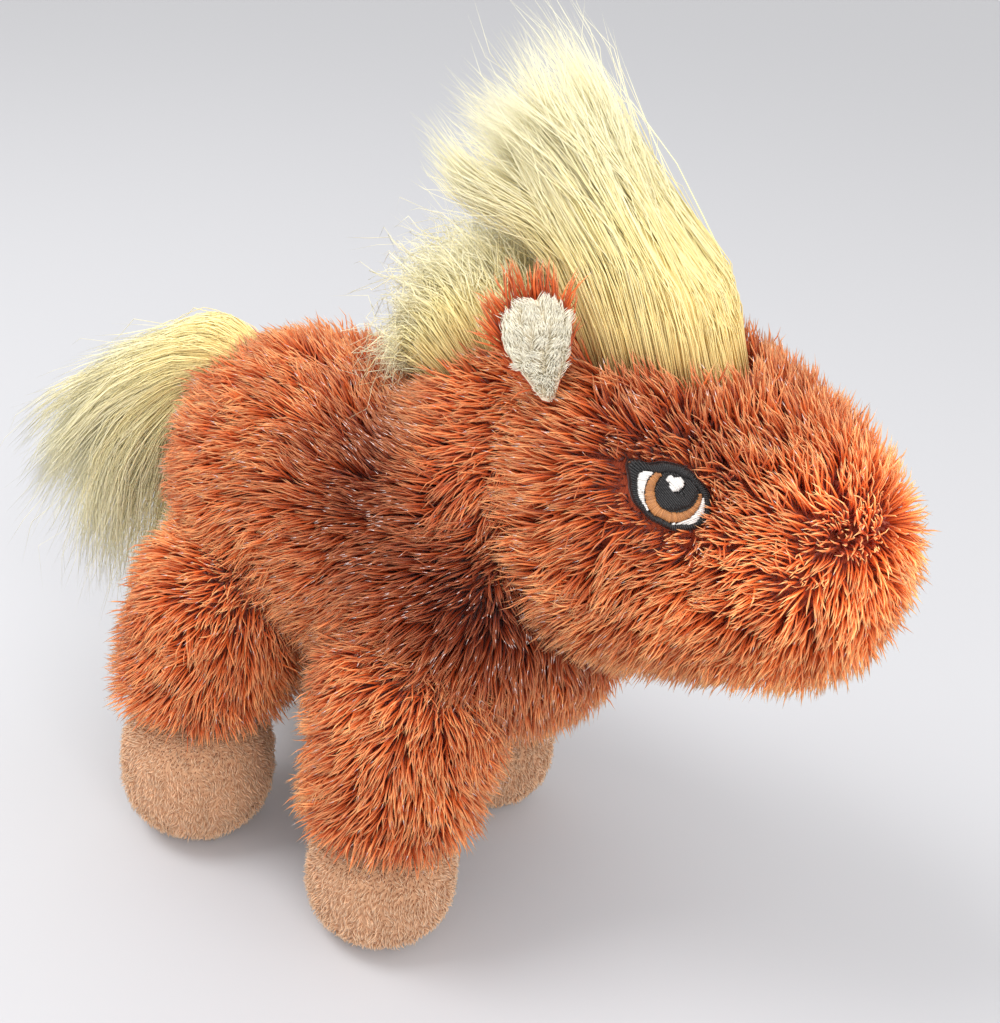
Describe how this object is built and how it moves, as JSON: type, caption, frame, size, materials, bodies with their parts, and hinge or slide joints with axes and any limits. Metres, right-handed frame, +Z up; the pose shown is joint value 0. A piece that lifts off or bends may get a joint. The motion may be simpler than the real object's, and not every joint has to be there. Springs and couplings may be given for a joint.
{
  "type": "plush horse",
  "caption": "Standing plush horse with shaggy fur, soft hooves that it rests on, embroidered eyes, and a forelock, mane and tail of long fibre; head, legs, ears and tufts bend.",
  "frame": {"origin": "on the ground, under the middle of the whole horse, from nose to tail and from side to side", "axes": "+X points to the nose, +Y to the horse's left, +Z up"},
  "size_m": [0.267, 0.1204, 0.232],
  "materials": {
    "fur": "rust long-pile plush",
    "fibrefill": "loose white polyester fibrefill",
    "hoof_pile": "tan short-pile plush",
    "pellets": "small smooth pellets, packed",
    "lining": "cream short-pile plush",
    "long_fibre": "long straight pale yellow fibre",
    "tape": "woven cotton tape",
    "black_thread": "black satin-stitch embroidery",
    "white_thread": "white satin-stitch embroidery",
    "brown_thread": "tan and brown satin-stitch embroidery"
  },
  "bodies": {
    "torso": {"body_cover": "fur", "body_stuffing": "fibrefill", "mane_tape": "tape", "tail_tape": "tape"},
    "head": {"head_cover": "fur", "head_stuffing": "fibrefill", "forelock_tape": "tape", "eye_outline_right": "black_thread", "eye_white_rear_right": "white_thread", "eye_white_front_right": "white_thread", "eye_iris_right": "brown_thread", "eye_pupil_right": "black_thread", "eye_glint_right": "white_thread", "eye_outline_left": "black_thread", "eye_white_rear_left": "white_thread", "eye_white_front_left": "white_thread", "eye_iris_left": "brown_thread", "eye_pupil_left": "black_thread", "eye_glint_left": "white_thread"},
    "leg_front_right": {"leg_cover_front_right": "fur", "leg_stuffing_front_right": "fibrefill", "hoof_cap_front_right": "hoof_pile", "hoof_sole_front_right": "hoof_pile", "hoof_pellets_front_right": "pellets"},
    "leg_front_left": {"leg_cover_front_left": "fur", "leg_stuffing_front_left": "fibrefill", "hoof_cap_front_left": "hoof_pile", "hoof_sole_front_left": "hoof_pile", "hoof_pellets_front_left": "pellets"},
    "leg_hind_right": {"leg_cover_hind_right": "fur", "leg_stuffing_hind_right": "fibrefill", "hoof_cap_hind_right": "hoof_pile", "hoof_sole_hind_right": "hoof_pile", "hoof_pellets_hind_right": "pellets"},
    "leg_hind_left": {"leg_cover_hind_left": "fur", "leg_stuffing_hind_left": "fibrefill", "hoof_cap_hind_left": "hoof_pile", "hoof_sole_hind_left": "hoof_pile", "hoof_pellets_hind_left": "pellets"},
    "ear_right": {"ear_back_right": "fur", "ear_lining_right": "lining"},
    "ear_left": {"ear_back_left": "fur", "ear_lining_left": "lining"},
    "forelock": {"forelock": "long_fibre"},
    "mane": {"mane": "long_fibre"},
    "tail": {"tail": "long_fibre"}
  },
  "joints": [
    {"name": "head_nod", "type": "hinge", "parent": "torso", "child": "head", "pos_m": [0.07162, 0, 0.135], "axis": [0, 1, 0], "range_deg": [-6, 14], "stiffness_Nm_per_rad": 0.8},
    {"name": "leg_front_right_swing", "type": "hinge", "parent": "torso", "child": "leg_front_right", "pos_m": [0.02662, -0.0285, 0.072], "axis": [0, 1, 0], "range_deg": [-15, 15], "stiffness_Nm_per_rad": 0.4},
    {"name": "leg_front_left_swing", "type": "hinge", "parent": "torso", "child": "leg_front_left", "pos_m": [0.02662, 0.0285, 0.072], "axis": [0, 1, 0], "range_deg": [-15, 15], "stiffness_Nm_per_rad": 0.4},
    {"name": "leg_hind_right_swing", "type": "hinge", "parent": "torso", "child": "leg_hind_right", "pos_m": [-0.03738, -0.0285, 0.074], "axis": [0, 1, 0], "range_deg": [-15, 15], "stiffness_Nm_per_rad": 0.4},
    {"name": "leg_hind_left_swing", "type": "hinge", "parent": "torso", "child": "leg_hind_left", "pos_m": [-0.03738, 0.0285, 0.074], "axis": [0, 1, 0], "range_deg": [-15, 15], "stiffness_Nm_per_rad": 0.4},
    {"name": "ear_right_flop", "type": "hinge", "parent": "head", "child": "ear_right", "pos_m": [0.05498, -0.02911, 0.16271], "axis": [0.7374, 0.6188, 0.2707], "range_deg": [-25, 25], "stiffness_Nm_per_rad": 0.02},
    {"name": "ear_left_flop", "type": "hinge", "parent": "head", "child": "ear_left", "pos_m": [0.05498, 0.02911, 0.16271], "axis": [-0.7374, 0.6188, -0.2707], "range_deg": [-25, 25], "stiffness_Nm_per_rad": 0.02},
    {"name": "forelock_flop", "type": "hinge", "parent": "head", "child": "forelock", "pos_m": [0.07591, 0, 0.17577], "axis": [1, 0, 0], "range_deg": [-25, 25], "stiffness_Nm_per_rad": 0.15},
    {"name": "mane_flop", "type": "hinge", "parent": "torso", "child": "mane", "pos_m": [0.01601, 0, 0.1557], "axis": [0.6947, 0, 0.7193], "range_deg": [-25, 25], "stiffness_Nm_per_rad": 0.05},
    {"name": "tail_wag", "type": "hinge", "parent": "torso", "child": "tail", "pos_m": [-0.05816, 0, 0.13377], "axis": [-0.6947, 0, 0.7193], "range_deg": [-25, 25], "stiffness_Nm_per_rad": 0.2}
  ]
}
